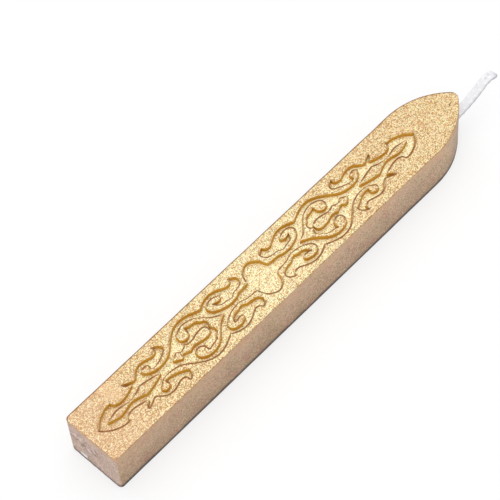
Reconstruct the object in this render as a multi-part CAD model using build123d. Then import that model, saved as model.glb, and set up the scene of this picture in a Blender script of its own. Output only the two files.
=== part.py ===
from build123d import *
import math
import os

# A cast stick of sealing wax with a sunk scroll ornament and a flat braided wick through it.
# Sizes are in millimetres. X runs along the stick towards its nose, Z points up out of the
# ornamented face, and the origin is the middle of the base.

# Cast wax bar
BAR_LENGTH = 90.0
BAR_WIDTH = 11.6
BAR_HEIGHT = 10.0
NOSE_LENGTH = 11.4
NOSE_TIP_RADIUS = 1.3
BUTT_CORNER_RADIUS = 0.8
FACE_EDGE_RADIUS = 0.25
BASE_EDGE_RADIUS = 0.2

# Sunk ornament, held off the bar's ends and long sides by plain margins
ORNAMENT_DEPTH = 0.8
ORNAMENT_BUTT_MARGIN = 2.2
ORNAMENT_NOSE_MARGIN = 11.05
ORNAMENT_SIDE_MARGIN = 1.12

# Wick: three cotton strands side by side in a coat of priming wax
STRAND_COUNT = 3
STRAND_DIAMETER = 0.44
STRAND_GAP = 0.04
PRIMER_AT_SIDES = 0.1
PRIMER_OVER_FACES = 0.28
STRAND_TAIL = 0.5

# Wick route: where it meets the butt face, where it begins to rise behind the nose, then its
# points out of the wax, given as distance from the nose and height over the base
WICK_BUTT_HEIGHT = 1.4
WICK_BUTT_OFFSET = 2.6
WICK_RISE_DEPTH = 4.0
WICK_RISE_HEIGHT = 2.25
WICK_FREE_POINTS = [(2.9, 3.7), (5.7, 4.8), (8.5, 6.5), (10.1, 5.35)]
BEND_SHARE = 0.45

# One quarter of the ornament, drawn from the middle of its medallion. Each stroke is a smooth
# curve through (along, across) points, and strokes meet at corners.
BORDER_STROKES = [
    [(0, 3.87), (1.0, 3.5), (1.65, 3.0), (2.05, 2.4), (2.25, 1.8), (2.5, 1.15)],
    [(2.5, 1.15), (2.9, 1.03), (4.0, 1.0), (5.0, 0.9)],
    [(5.0, 0.9), (5.5, 0.65), (6.6, 0.48), (8.0, 0.63), (9.6, 1.25), (10.4, 1.95), (10.55, 2.6),
     (10.15, 3.2), (9.0, 3.5), (7.9, 3.25), (7.38, 2.8), (7.7, 2.42), (8.4, 2.38), (9.2, 2.58)],
    [(9.2, 2.58), (8.85, 1.85), (8.1, 1.38), (7.3, 1.3), (6.5, 1.03), (5.9, 1.18), (5.5, 1.52)],
    [(5.5, 1.52), (4.6, 1.62), (3.7, 1.82), (3.05, 2.25), (2.83, 2.95), (3.2, 3.6), (3.98, 3.95)],
    [(3.98, 3.95), (4.3, 3.42), (5.1, 3.2), (5.9, 3.5), (7.2, 4.15), (8.7, 4.42), (10.2, 4.1),
     (11.45, 3.47)],
    [(11.45, 3.47), (12.6, 4.0), (13.9, 4.48), (15.3, 4.68), (16.8, 4.4), (18.2, 3.62),
     (19.7, 2.4), (21.1, 1.42), (22.4, 1.05), (23.6, 0.97), (24.9, 1.2), (25.85, 1.8),
     (26.2, 2.35), (25.8, 2.8), (25.1, 2.83), (24.6, 2.55), (24.6, 2.05), (24.7, 1.65)],
    [(24.7, 1.65), (24.1, 1.48), (23.1, 1.68), (22.0, 2.1), (21.2, 2.52), (20.65, 2.9),
     (20.6, 3.4), (21.1, 4.05), (21.85, 4.42)],
    [(21.85, 4.42), (21.75, 3.95), (22.1, 3.45), (22.9, 3.28), (24, 3.6), (25.2, 3.83),
     (26.4, 3.58), (27.3, 2.8), (28.0, 2.35), (28.9, 2.68), (30.0, 3.15)],
    [(30.0, 3.15), (29.65, 2.5), (28.95, 2.0)],
    [(28.95, 2.0), (30.2, 1.55), (31.6, 1.25), (32.7, 1.28), (33.4, 1.62), (33.65, 2.3)],
    [(33.65, 2.3), (34.7, 2.28), (36.0, 1.85), (37.2, 1.15), (38.35, 0)],
]
HEART_STROKES = [
    [(9.33, 0), (11.2, 1.05), (13.0, 2.75), (14.1, 3.4), (15.4, 3.66), (16.8, 3.42), (17.65, 2.8),
     (17.8, 1.95), (17.3, 1.35), (16.5, 1.35), (15.85, 1.8), (15.7, 2.4), (15.6, 2.95)],
    [(15.6, 2.95), (14.8, 2.68), (13.9, 2.55), (13.3, 2.3), (13.05, 1.8)],
    [(13.05, 1.8), (12.5, 1.58), (12.2, 1.05), (12.35, 0.5), (12.68, 0)],
]
CLUB_STROKES = [
    [(13.0, 0), (13.1, 0.5), (13.6, 0.83), (14.4, 0.9), (15.5, 0.74), (16.8, 0.43), (17.4, 0.54),
     (17.9, 0.8)],
    [(17.9, 0.8), (18.5, 0.46), (19.2, 0.27), (19.5, 0.34)],
    [(19.5, 0.34), (19.9, 0.76), (20.5, 0.5), (21.25, 0)],
]
LOZENGE_STROKES = [
    [(24.2, 0), (26, 0.55), (28.3, 1.0)],
    [(28.3, 1.0), (29.4, 0.52), (30.5, 0.18), (31.3, 0.13), (32.2, 0.28), (33.6, 0.6),
     (35.0, 0.42), (36.4, 0)],
]

BUTT_X = -BAR_LENGTH / 2
NOSE_X = BAR_LENGTH / 2
HALF_WIDTH = BAR_WIDTH / 2

ORNAMENT_BUTT_X = BUTT_X + ORNAMENT_BUTT_MARGIN
ORNAMENT_NOSE_X = NOSE_X - ORNAMENT_NOSE_MARGIN
ORNAMENT_MIDDLE = (ORNAMENT_BUTT_X + ORNAMENT_NOSE_X) / 2

STRAND_PITCH = STRAND_DIAMETER + STRAND_GAP
WICK_WIDTH = STRAND_COUNT * STRAND_PITCH - STRAND_GAP + 2 * PRIMER_AT_SIDES
WICK_THICKNESS = STRAND_DIAMETER + 2 * PRIMER_OVER_FACES


def bar_outline():
    """Plan of the bar: a square butt with rounded corners and a pointed arch for a nose.

    Each arch arc leaves its long side tangentially at the shoulder and meets the round of the
    tip tangentially, which settles its radius.
    """
    shoulder_x = NOSE_X - NOSE_LENGTH
    reach = NOSE_LENGTH - NOSE_TIP_RADIUS
    arch_radius = (reach**2 + HALF_WIDTH**2 - NOSE_TIP_RADIUS**2) / (2 * (HALF_WIDTH - NOSE_TIP_RADIUS))
    sweep_angle = math.asin(reach / (arch_radius - NOSE_TIP_RADIUS))

    def on_arch(angle):
        return Vector(shoulder_x + arch_radius * math.sin(angle),
                      HALF_WIDTH - arch_radius * (1 - math.cos(angle)))

    shoulder = on_arch(0)
    middle = on_arch(sweep_angle / 2)
    tip_start = on_arch(sweep_angle)
    corner_x = BUTT_X + BUTT_CORNER_RADIUS
    corner_y = HALF_WIDTH - BUTT_CORNER_RADIUS
    upper = [
        RadiusArc((BUTT_X, corner_y), (corner_x, HALF_WIDTH), BUTT_CORNER_RADIUS),
        Line((corner_x, HALF_WIDTH), shoulder),
        ThreePointArc(shoulder, middle, tip_start),
    ]
    lower = [edge.mirror(Plane.XZ) for edge in upper]
    tip = ThreePointArc(tip_start, (NOSE_X, 0), (tip_start.X, -tip_start.Y))
    butt = Line((BUTT_X, corner_y), (BUTT_X, -corner_y))
    return Face(Wire([*upper, *lower, tip, butt]))


def ornament_point(point):
    """Place a drawn point on the bar: the drawing fills the face between its plain margins."""
    drawn = [place for stroke in BORDER_STROKES for place in stroke]
    half_length = (ORNAMENT_NOSE_X - ORNAMENT_BUTT_X) / 2
    half_width = HALF_WIDTH - ORNAMENT_SIDE_MARGIN
    along = point[0] * half_length / max(place[0] for place in drawn)
    across = point[1] * half_width / max(place[1] for place in drawn)
    return Vector(along, across)


def stroke_edge(stroke):
    """A smooth edge through a stroke's points."""
    return Spline(*[ornament_point(point) for point in stroke])


def crossing_edge(stroke, along_sign, across_sign):
    """A smooth edge drawn whole over the mirror line that its stroke starts on."""
    other_half = [(along * along_sign, across * across_sign) for along, across in stroke[:0:-1]]
    return stroke_edge(other_half + stroke)


def with_mirror(edges, plane):
    """Edges together with their reflections."""
    return edges + [edge.mirror(plane) for edge in edges]


def border_loop():
    """The ornament's outside line, with the medallion's dome drawn whole over its middle."""
    dome = crossing_edge(BORDER_STROKES[0], -1, 1)
    arms = with_mirror([stroke_edge(stroke) for stroke in BORDER_STROKES[1:]], Plane.YZ)
    return Wire(with_mirror([dome, *arms], Plane.XZ))


def island_loops():
    """Outlines of the islands inside the ornament that stay level with the face."""
    heart = with_mirror([stroke_edge(stroke) for stroke in HEART_STROKES], Plane.XZ)
    club_head = crossing_edge(CLUB_STROKES[0], 1, -1)
    club = [club_head] + with_mirror([stroke_edge(stroke) for stroke in CLUB_STROKES[1:]], Plane.XZ)
    lozenge = with_mirror([stroke_edge(stroke) for stroke in LOZENGE_STROKES], Plane.XZ)
    return with_mirror([Wire(island) for island in (heart, club, lozenge)], Plane.YZ)


def ornament_pocket():
    """The sunk ornament as one cutting tool that reaches up past the face."""
    sunk_face = Face(border_loop(), island_loops())
    pocket = extrude(sunk_face, amount=2 * ORNAMENT_DEPTH, dir=(0, 0, 1))
    return Pos(ORNAMENT_MIDDLE, 0, BAR_HEIGHT - ORNAMENT_DEPTH) * pocket


def wick_plane():
    """Upright plane through the wick's place on the butt face and the nose tip, Z up in it."""
    along = Vector(BAR_LENGTH, -WICK_BUTT_OFFSET, 0)
    return Plane(origin=(NOSE_X, 0, 0), x_dir=along, z_dir=along.cross(Vector(0, 0, 1)))


def wick_points(tail):
    """The wick's route in its plane, from past the butt face to its cut end and a tail."""
    butt_distance = math.hypot(BAR_LENGTH, WICK_BUTT_OFFSET)
    held = [(-butt_distance - WICK_WIDTH, WICK_BUTT_HEIGHT), (-WICK_RISE_DEPTH, WICK_RISE_HEIGHT)]
    points = [Vector(*point) for point in held + WICK_FREE_POINTS]
    points[-1] += (points[-1] - points[-2]).normalized() * tail
    return points


def bend_radii(points):
    """The largest bend at each inner point that its shorter run leaves room for."""
    radii = []
    for before, here, after in zip(points, points[1:], points[2:]):
        run_in = here - before
        run_out = after - here
        half_turn = math.radians(run_in.get_angle(run_out)) / 2
        radii.append(BEND_SHARE * min(run_in.length, run_out.length) / math.tan(half_turn))
    return radii


def wick_sweep(section, tail):
    """Carry a section along the wick's route and trim it flush with the butt face."""
    plane = wick_plane()
    points = wick_points(tail)
    path = plane * FilletPolyline(*points, radius=bend_radii(points))
    start = Plane(origin=path @ 0, x_dir=plane.z_dir, z_dir=path % 0)
    swept = sweep(start * section, path=path)
    print(f"wick route {path.length:.1f} mm, swept volume {swept.volume:.2f},"
          f" section times length {section.area * path.length:.2f}")
    return split(swept, bisect_by=Plane.YZ.offset(BUTT_X), keep=Keep.TOP)


def wick_strand(index):
    """One round cotton strand, placed across the wick by its number."""
    across = (index - (STRAND_COUNT - 1) / 2) * STRAND_PITCH
    return wick_sweep(Pos(across, 0) * Circle(STRAND_DIAMETER / 2), STRAND_TAIL)


def wick_envelope():
    """The flat, round-edged outside of the primed wick."""
    return wick_sweep(SlotOverall(WICK_WIDTH, WICK_THICKNESS), 0)


def wax_bar(envelope):
    """The cast bar with its edges rounded, its ornament sunk and the wick's channel through it."""
    bar = extrude(bar_outline(), amount=BAR_HEIGHT, dir=(0, 0, 1))
    bar = fillet(bar.edges().group_by(Axis.Z)[-1], FACE_EDGE_RADIUS)
    bar = fillet(bar.edges().group_by(Axis.Z)[0], BASE_EDGE_RADIUS)
    return bar - ornament_pocket() - envelope


def main():
    os.makedirs("parts", exist_ok=True)
    print("wick bend radii", [round(radius, 2) for radius in bend_radii(wick_points(0))])
    envelope = wick_envelope()
    strands = [wick_strand(index) for index in range(STRAND_COUNT)]
    coat = envelope
    for strand in strands:
        coat = coat - strand
    nodes = {"wax_bar": wax_bar(envelope), "wick_primer_coat": coat}
    for index, strand in enumerate(strands):
        nodes[f"wick_strand_{index + 1}"] = strand
    for name, shape in nodes.items():
        export_step(shape, f"parts/{name}.step")


main()
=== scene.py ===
import math

import bpy
import numpy as np
from bpy.props import FloatProperty, FloatVectorProperty, PointerProperty
from mathutils import Matrix, Vector
from mathutils.geometry import delaunay_2d_cdt


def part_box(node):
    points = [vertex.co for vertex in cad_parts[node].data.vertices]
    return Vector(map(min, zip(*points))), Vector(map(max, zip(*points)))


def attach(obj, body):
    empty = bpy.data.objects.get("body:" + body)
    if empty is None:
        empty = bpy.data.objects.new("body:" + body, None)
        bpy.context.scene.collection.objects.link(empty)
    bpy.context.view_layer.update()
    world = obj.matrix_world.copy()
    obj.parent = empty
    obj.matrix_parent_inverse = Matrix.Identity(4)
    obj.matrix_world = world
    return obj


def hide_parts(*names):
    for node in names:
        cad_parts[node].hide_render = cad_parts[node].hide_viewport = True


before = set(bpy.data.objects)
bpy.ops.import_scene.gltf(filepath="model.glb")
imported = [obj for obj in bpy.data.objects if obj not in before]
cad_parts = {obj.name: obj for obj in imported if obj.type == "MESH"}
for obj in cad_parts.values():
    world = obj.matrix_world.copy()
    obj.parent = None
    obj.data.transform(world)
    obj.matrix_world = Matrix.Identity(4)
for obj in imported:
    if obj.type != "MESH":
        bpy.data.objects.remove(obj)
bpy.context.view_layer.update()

bl_info = {
    "name": "Sealing wax stick",
    "version": (1, 0, 0),
    "blender": (4, 5, 0),
    "location": "View3D > Sidebar > Wax stick",
    "description": "Dresses a cast gold wax stick with a sunk scroll ornament and a primed wick",
    "category": "Object",
}

BAR_LOW, BAR_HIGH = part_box("wax_bar")
BODY = "root"

# Drawing and section work is in millimetres; meshes, properties and materials are in metres.
MM = 0.001
TAU = 2 * math.pi
GOLDEN_ANGLE = math.pi * (3 - math.sqrt(5))

# One quarter of the ornament, drawn from the middle of its medallion. Each stroke is a smooth
# curve through (along, across) points, and strokes meet at corners.
BORDER_STROKES = [
    [(0, 3.87), (1.0, 3.5), (1.65, 3.0), (2.05, 2.4), (2.25, 1.8), (2.5, 1.15)],
    [(2.5, 1.15), (2.9, 1.03), (4.0, 1.0), (5.0, 0.9)],
    [(5.0, 0.9), (5.5, 0.65), (6.6, 0.48), (8.0, 0.63), (9.6, 1.25), (10.4, 1.95), (10.55, 2.6),
     (10.15, 3.2), (9.0, 3.5), (7.9, 3.25), (7.38, 2.8), (7.7, 2.42), (8.4, 2.38), (9.2, 2.58)],
    [(9.2, 2.58), (8.85, 1.85), (8.1, 1.38), (7.3, 1.3), (6.5, 1.03), (5.9, 1.18), (5.5, 1.52)],
    [(5.5, 1.52), (4.6, 1.62), (3.7, 1.82), (3.05, 2.25), (2.83, 2.95), (3.2, 3.6), (3.98, 3.95)],
    [(3.98, 3.95), (4.3, 3.42), (5.1, 3.2), (5.9, 3.5), (7.2, 4.15), (8.7, 4.42), (10.2, 4.1),
     (11.45, 3.47)],
    [(11.45, 3.47), (12.6, 4.0), (13.9, 4.48), (15.3, 4.68), (16.8, 4.4), (18.2, 3.62),
     (19.7, 2.4), (21.1, 1.42), (22.4, 1.05), (23.6, 0.97), (24.9, 1.2), (25.85, 1.8),
     (26.2, 2.35), (25.8, 2.8), (25.1, 2.83), (24.6, 2.55), (24.6, 2.05), (24.7, 1.65)],
    [(24.7, 1.65), (24.1, 1.48), (23.1, 1.68), (22.0, 2.1), (21.2, 2.52), (20.65, 2.9),
     (20.6, 3.4), (21.1, 4.05), (21.85, 4.42)],
    [(21.85, 4.42), (21.75, 3.95), (22.1, 3.45), (22.9, 3.28), (24, 3.6), (25.2, 3.83),
     (26.4, 3.58), (27.3, 2.8), (28.0, 2.35), (28.9, 2.68), (30.0, 3.15)],
    [(30.0, 3.15), (29.65, 2.5), (28.95, 2.0)],
    [(28.95, 2.0), (30.2, 1.55), (31.6, 1.25), (32.7, 1.28), (33.4, 1.62), (33.65, 2.3)],
    [(33.65, 2.3), (34.7, 2.28), (36.0, 1.85), (37.2, 1.15), (38.35, 0)],
]
HEART_STROKES = [
    [(9.33, 0), (11.2, 1.05), (13.0, 2.75), (14.1, 3.4), (15.4, 3.66), (16.8, 3.42), (17.65, 2.8),
     (17.8, 1.95), (17.3, 1.35), (16.5, 1.35), (15.85, 1.8), (15.7, 2.4), (15.6, 2.95)],
    [(15.6, 2.95), (14.8, 2.68), (13.9, 2.55), (13.3, 2.3), (13.05, 1.8)],
    [(13.05, 1.8), (12.5, 1.58), (12.2, 1.05), (12.35, 0.5), (12.68, 0)],
]
CLUB_STROKES = [
    [(13.0, 0), (13.1, 0.5), (13.6, 0.83), (14.4, 0.9), (15.5, 0.74), (16.8, 0.43), (17.4, 0.54),
     (17.9, 0.8)],
    [(17.9, 0.8), (18.5, 0.46), (19.2, 0.27), (19.5, 0.34)],
    [(19.5, 0.34), (19.9, 0.76), (20.5, 0.5), (21.25, 0)],
]
LOZENGE_STROKES = [
    [(24.2, 0), (26, 0.55), (28.3, 1.0)],
    [(28.3, 1.0), (29.4, 0.52), (30.5, 0.18), (31.3, 0.13), (32.2, 0.28), (33.6, 0.6),
     (35.0, 0.42), (36.4, 0)],
]
DRAWING_LENGTH = 38.35
DRAWING_WIDTH = 4.68

# Wick route in its upright plane: distance from the nose tip and height over the base
WICK_HELD_POINTS = [(-12.0, 2.171), (-4.0, 2.25)]
WICK_FREE_POINTS = [(2.9, 3.7), (5.7, 4.8), (8.5, 6.5), (10.1, 5.35)]

# Gaps between the strands, dimpled into the coat and painted with shade: distance before the cut end
# and across
WICK_GAPS = [(1.5, 0.22), (2.3, 0.0)]
WICK_GAP_SIZE = 0.2
WICK_GAP_DEPTH = 0.25

# Strands of the wick, the plies twisted in each and the fraying of their ends. A plain core fills
# these shares of the wick's half width and half thickness, and sharpness is how plainly the
# strands stand out from it under the coat.
STRANDS = 3
PLIES = 4
PLY_PITCH = 1.6
FRAY_SHARE = 0.35
FRAY_REACH = 0.25
CORE_SHARE = (0.98, 0.92)
SHARPNESS = 10
END_ROUND = 0.15

# The painted shade line beside the scrolls is strongest on lips that face this way, and faint opposite
LINE_WAY = np.array([0.71, 0.71])
FAINT_LINE = 0.12

# How dark the painted shade line is on the face's far edge and its near one, and how much less at the
# butt
FAR_EDGE_LINE = 0.85
NEAR_EDGE_LINE = 0.36
BUTT_EDGE_LESS = 0.16

# Casting waves and ragged foot of the side, a nick in the near edge and a seam round the nose
WAVE_DEPTH = 0.012
WAVE_PATCH = 7.0
RAGGED_DEPTH = 0.05
TRIM_SLANT = (0.30, 0.95)
NICK_ALONG = -15.0
NICK_REACH = (0.28, 0.45)
NICK_DEPTH = 0.22
SEAM_BEFORE_TIP = (6.5, 4.0)
SEAM_HEIGHT = 1.1
SEAM_WIDTH = 0.12
SEAM_DEPTH = 0.06

# How finely the lines and sections are divided, in millimetres and steps
LINE_STEP = 0.02
CORNER_TURN = 0.3
FINEST_GAP = 0.02
WIDEST_GAP = 0.25
ROOM_SHARE = 0.65
FILL_GAP = 0.8
LIP_STEPS = 4
WALL_STEPS = 2
EDGE_STEPS = 6
SIDE_ROWS = 24
CORNER_POINTS = 10
LONG_SIDE_POINTS = 150
ARCH_POINTS = 40
TIP_POINTS = 18
BUTT_POINTS = 60
SPLITS = 16
WICK_LEG_STEPS = 80
COAT_GAP = 0.14
COAT_SIDES = 36
STRAND_GAP = 0.12
STRAND_SIDES = 16

# Sizes of the grain and patches of wax and cotton, in metres
FINE_FLAKE = 0.00014
LARGE_FLAKE = 0.00030
CLOUD = 0.0035
SATIN_GRAIN = 0.00022
HUE_PATCH = 0.0016
CUT_GRAIN = 0.0004
MARK_REACH = 0.004
PRIMER_SPECK = 0.0003
COTTON_FIBRE = 0.00009

# Stage: the floor's gap under the base, lamp sides and places, and the sensor's width
FLOOR_GAP = 2e-5
OVERHEAD_PANEL = (1.3, (0.12, 0.14, 0.82))
FRONT_PANEL = (0.8, (-0.60, -0.40, 0.42))
SENSOR_WIDTH = 36.0


def tone(red, green, blue):
    """A colour in screen values from 0 to 255, as the linear colour that a shader takes."""
    parts = np.array([red, green, blue]) / 255
    linear = np.where(parts <= 0.04045, parts / 12.92, ((parts + 0.055) / 1.055) ** 2.4)
    return tuple(float(part) for part in linear)


# Lesser tints of the wax, mixed or multiplied over the settings' colours
ROSE_FLAKES = tone(255, 238, 234)
SPARKLE_STOPS = [(0.0, tone(192, 148, 108)), (0.6, tone(217, 173, 131)), (0.95, tone(255, 240, 200))]
SMEARED = tone(236, 200, 168)
SMUDGED = tone(206, 160, 108)
SCRATCHED = tone(122, 86, 52)
PINK_HUE = tone(252, 234, 240)
GREEN_HUE = tone(240, 244, 234)
# Sides darker towards the butt end
BUTT_END_DARKER = tone(164, 128, 98)
# Painted shade on the nose's sides, and a darker painted shade round its tip, where the side turns
# away from the light
NOSE_SIDE_SHADE = tone(150, 122, 104)
TIP_SHADE = tone(92, 78, 74)
WARM_CUT = tone(204, 162, 130)
PALE_AMBER = tone(214, 178, 74)


def length_setting(name, description, millimetres):
    return FloatProperty(name=name, description=description, default=millimetres * MM, min=0.0,
                         precision=5, subtype="DISTANCE", unit="LENGTH")


def colour_setting(name, description, colour):
    return FloatVectorProperty(name=name, description=description, default=colour, size=3,
                               min=0.0, max=1.0, subtype="COLOR")


def angle_setting(name, description, degrees):
    return FloatProperty(name=name, description=description, default=math.radians(degrees),
                         subtype="ANGLE", unit="ROTATION")


class WaxBarSettings(bpy.types.PropertyGroup):
    """Sizes and colours of the cast bar."""

    length: length_setting("Length", "From the butt face to the nose tip",
                           (BAR_HIGH[0] - BAR_LOW[0]) / MM)
    width: length_setting("Width", "Across the ornamented face", (BAR_HIGH[1] - BAR_LOW[1]) / MM)
    height: length_setting("Height", "From the base to the ornamented face",
                           (BAR_HIGH[2] - BAR_LOW[2]) / MM)
    nose_length: length_setting("Nose length", "From the shoulder to the nose tip", 11.4)
    tip_radius: length_setting("Tip radius", "Round of the nose tip seen from above", 1.3)
    corner_radius: length_setting("Corner radius", "Round of the butt's upright corners", 0.8)
    face_edge: length_setting("Face edge", "Round of the edge of the ornamented face", 0.17)
    base_edge: length_setting("Base edge", "Round of the edge of the base", 0.2)
    ornament_depth: length_setting("Ornament depth", "How deep the scrolls are sunk", 0.8)
    ornament_butt_margin: length_setting("Butt margin", "Plain face beside the butt", 2.2)
    ornament_nose_margin: length_setting("Nose margin", "Plain face beside the nose", 11.05)
    ornament_side_margin: length_setting("Side margin", "Plain face beside the long sides", 1.12)
    corner_ease: length_setting("Corner ease", "How far the scrolls' corners are softened", 0.09)
    lip_radius: length_setting("Lip radius", "Round of the scrolls' upper edges", 0.12)
    # Width of the band of painted shade beside the scrolls' upper edges
    lip_line: length_setting("Lip line", "Worn band of face beside the scrolls' upper edges", 0.32)
    # Width of the band of painted shade beside the bar's edge
    rim_line: length_setting("Rim line", "Worn band of face beside the bar's edge", 0.16)
    floor_radius: length_setting("Floor radius", "Round of the scrolls' lower edges", 0.12)
    wall_draft: angle_setting("Wall draft", "Lean of the scrolls' walls", 5)
    trim_relief: length_setting("Trim relief", "Height of the trim marks on the butt face", 0.05)
    pearl: colour_setting("Pearl", "Face of the wax between its brightest and darkest flakes",
                          tone(252, 224, 168))
    flake_light: colour_setting("Light flakes", "Brightest mica flakes", tone(255, 254, 212))
    flake_dark: colour_setting("Dark flakes", "Darkest mica flakes", tone(186, 148, 94))
    # Painted light: dims the level face, so that the sunk floors stay lighter than the face despite
    # the shade in the scrolls
    dim_against_lit_floors: colour_setting("Worn", "How handling dulls the face over the scrolls' floor",
                         tone(244, 229, 222))
    # Clear amber wax with painted inter-reflected light from the scrolls
    amber: colour_setting("Amber", "Clear wax on the scrolls' walls", tone(217, 169, 56))
    # Painted shade lower on the walls, over the clear amber
    amber_low_shade: colour_setting("Deep amber", "Clear wax lower on the walls", tone(203, 146, 38))
    # Painted shade: the dark line along the scrolls' lips and the bar's edges
    lip: colour_setting("Lip", "Thin line along the scrolls' upper edges", tone(122, 66, 14))
    # The face's wax painted darker and greyer for the shade on the long sides, with a matte satin
    # finish
    satin: colour_setting("Satin", "Long sides of the bar", tone(164, 134, 105))
    satin_light: colour_setting("Light satin", "Rubbed grain of the long sides", tone(219, 187, 154))
    # Painted contact shadow along the foot of the sides, where they meet the floor
    painted_foot_shadow: colour_setting("Grime", "Foot of the sides, where the wax picks up dirt", tone(70, 50, 40))
    # Painted light: the sides warmer and lighter just under the face
    satin_warm: colour_setting("Warm satin", "Long sides under the face", tone(214, 166, 122))
    trimmed: colour_setting("Trimmed", "Cut wax of the butt face", tone(218, 191, 173))
    trim_light: colour_setting("Light trim", "Smeared wax of the butt face", tone(226, 208, 202))
    trim_dark: colour_setting("Dark trim", "Dull grain of the butt face", tone(170, 142, 128))
    trim_mark: colour_setting("Trim marks", "Torn spots of the butt face", tone(126, 94, 90))


class WickSettings(bpy.types.PropertyGroup):
    """Sizes and colours of the primed wick."""

    butt_offset: length_setting("Butt offset", "Wick's distance from the middle at the butt", 2.6)
    butt_height: length_setting("Butt height", "Wick's height over the base at the butt", 1.4)
    half_width: length_setting("Half width", "Middle to the flat side's edge", 0.88)
    half_thickness: length_setting("Half thickness", "Middle to the broad face", 0.5)
    strand_radius: length_setting("Strand radius", "Radius of one cotton strand", 0.19)
    coat: length_setting("Coat", "Wax over the strands", 0.08)
    plait_pitch: length_setting("Plait pitch", "Length of one full turn of the plait", 4.2)
    tail: length_setting("Tail", "Bare cotton past the end of the coat", 0.12)
    primer: colour_setting("Primer", "White priming wax", tone(247, 247, 249))
    # Painted shade between the strands, and the tone of random specks
    primer_shade: colour_setting("Primer shade", "Priming wax between the strands",
                                 tone(238, 238, 241))
    # Painted shade over the flat wick's edges, one side of its cut end and the gaps
    primer_painted_shade: colour_setting("Primer edge", "Thin priming wax over the flat wick's edges",
                                tone(196, 196, 204))
    cotton: colour_setting("Cotton", "Bleached cotton", tone(238, 238, 238))
    # Painted shade between the plies, and the tone of the fibre grain
    cotton_shade: colour_setting("Cotton shade", "Cotton between its plies", tone(196, 196, 200))


class StageSettings(bpy.types.PropertyGroup):
    """Floor, lamps and camera."""

    floor_reach: length_setting("Floor reach", "Half side of the floor", 1500.0)
    floor: colour_setting("Floor", "Pale floor", (0.97, 0.97, 0.97))
    floor_glow: FloatProperty(name="Floor glow", default=0.7, min=0.0, max=1.0, subtype="FACTOR",
                              description="Share of the floor that the camera sees as plain white")
    sky: FloatProperty(name="Sky", description="Strength of the even light", default=0.42, min=0.0)
    key: FloatProperty(name="Key", description="Power of the large lamp overhead", default=7.3,
                       min=0.0, unit="POWER")
    fill: FloatProperty(name="Fill", description="Power of the lamp behind the camera", default=1.6,
                        min=0.0, unit="POWER")
    azimuth: angle_setting("Azimuth", "Camera's turn round the stick", -42.274)
    elevation: angle_setting("Elevation", "Camera's height over the horizon", 57.985)
    roll: angle_setting("Roll", "Camera's turn about its view line", -5.537)
    distance: length_setting("Distance", "Camera to the point that it looks at", 390.06)
    target: FloatVectorProperty(name="Target", description="Point that the camera looks at",
                                default=(0.000104, 0.007369, 0.005), size=3, precision=6,
                                subtype="TRANSLATION", unit="LENGTH")
    lens: FloatProperty(name="Lens", description="Focal length on a 36 mm wide sensor",
                        default=165.6, unit="CAMERA")


class Wire:
    """An output socket of a material. Arithmetic on it adds Math nodes to the material."""

    def __init__(self, paint, socket):
        self.paint = paint
        self.socket = socket

    def maths(self, operation, *values):
        return self.paint.node("ShaderNodeMath", {"operation": operation}, dict(enumerate(values)))

    def __add__(self, other):
        return self.maths("ADD", self, other)

    def __radd__(self, other):
        return self.maths("ADD", other, self)

    def __sub__(self, other):
        return self.maths("SUBTRACT", self, other)

    def __rsub__(self, other):
        return self.maths("SUBTRACT", other, self)

    def __mul__(self, other):
        return self.maths("MULTIPLY", self, other)

    def __rmul__(self, other):
        return self.maths("MULTIPLY", other, self)


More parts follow.
